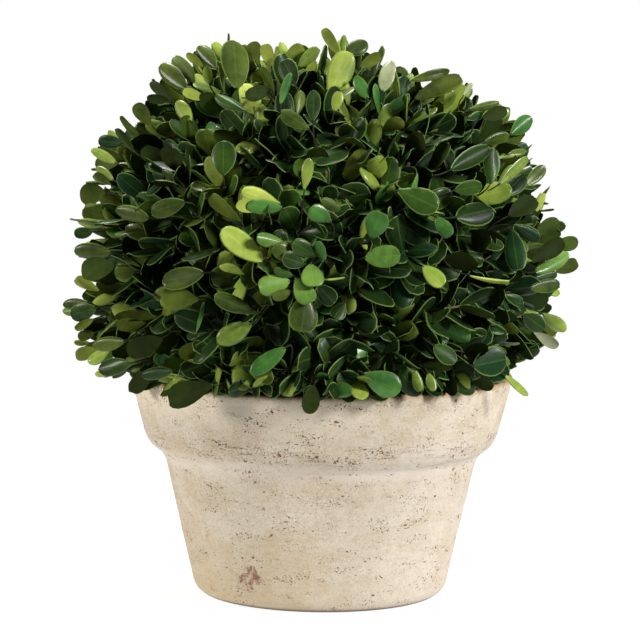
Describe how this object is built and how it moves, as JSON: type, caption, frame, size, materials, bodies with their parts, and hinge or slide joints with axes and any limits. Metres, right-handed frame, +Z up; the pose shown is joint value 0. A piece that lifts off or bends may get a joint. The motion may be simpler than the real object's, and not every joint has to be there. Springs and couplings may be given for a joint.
{
  "type": "box topiary ball in a clay pot",
  "caption": "Small box shrub clipped to a dense leafy ball on a short stem, growing in a round, soil-filled clay pot with a rim band.",
  "frame": {"origin": "centre of the pot's flat underside, at the level that the pot stands on", "axes": "+Z is up, along the pot's axis and through the middle of the ball; the picture looks along +Y, with +X to the right"},
  "size_m": [0.247, 0.2456, 0.272],
  "materials": {
    "clay": "matte",
    "soil": "matte",
    "bark": "matte",
    "leaf": "satin"
  },
  "bodies": {
    "root": {"clay_pot": "clay", "soil": "soil", "stem": "bark", "foliage_ball": "leaf"}
  },
  "joints": []
}
